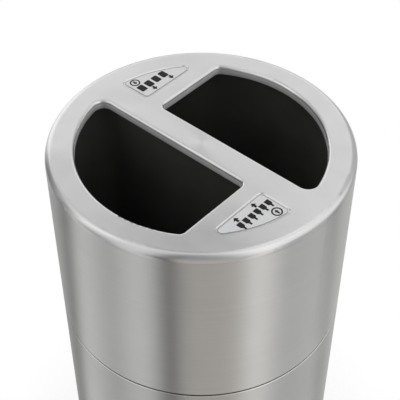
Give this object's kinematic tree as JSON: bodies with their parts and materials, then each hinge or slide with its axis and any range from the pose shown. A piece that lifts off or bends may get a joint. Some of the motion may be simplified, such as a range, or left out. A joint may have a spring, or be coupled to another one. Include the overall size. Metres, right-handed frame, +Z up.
{
  "type": "double recycling bin",
  "caption": "Round brushed steel recycling bin for two streams: a deep lift-off hood with half-round openings over black D-shaped liners.",
  "frame": {"origin": "the middle of the floor under the bin", "axes": "+Z up; +X along the bridge between the two openings, towards the label recess at -Y; +Y towards the cans opening"},
  "size_m": [0.5113, 0.5114, 0.864],
  "materials": {
    "satin_steel": "satin",
    "brushed_steel": "fine brushing around the wall",
    "galvanised_steel": "galvanised, dull",
    "label_plate": "satin",
    "black_rubber": "matt",
    "zinc_fasteners": "zinc plated",
    "liner_plastic": "satin moulded black"
  },
  "bodies": {
    "base": {"base_sleeve": "brushed_steel", "base_seam_strap": "galvanised_steel", "locating_ring": "galvanised_steel", "seat_gasket": "black_rubber", "base_pan": "galvanised_steel", "liner_rail": "galvanised_steel", "rail_rivets": "zinc_fasteners", "base_trim": "black_rubber", "foot_1": "black_rubber", "foot_2": "black_rubber", "foot_3": "black_rubber", "foot_4": "black_rubber", "foot_screws": "zinc_fasteners", "foot_nuts": "zinc_fasteners"},
    "hood": {"deck": "satin_steel", "label_cans": "label_plate", "label_bottles": "label_plate", "hood_sleeve": "brushed_steel", "hood_joint_ring": "galvanised_steel", "hood_seam_strap": "galvanised_steel"},
    "cans_liner": {"liner_cans": "liner_plastic"},
    "bottles_liner": {"liner_bottles": "liner_plastic"}
  },
  "joints": [
    {"name": "hood_lift", "type": "slide", "parent": "base", "child": "hood", "axis": [0, 0, 1], "range_m": [0, 0.88]},
    {"name": "cans_liner_lift", "type": "slide", "parent": "base", "child": "cans_liner", "axis": [0, 0, 1], "range_m": [0, 0.53]},
    {"name": "bottles_liner_lift", "type": "slide", "parent": "base", "child": "bottles_liner", "axis": [0, 0, 1], "range_m": [0, 0.53]}
  ],
  "couplings": [
    {"joint": "cans_liner_lift", "follows": "hood_lift", "ratio": 0.6},
    {"joint": "bottles_liner_lift", "follows": "hood_lift", "ratio": 0.6}
  ]
}
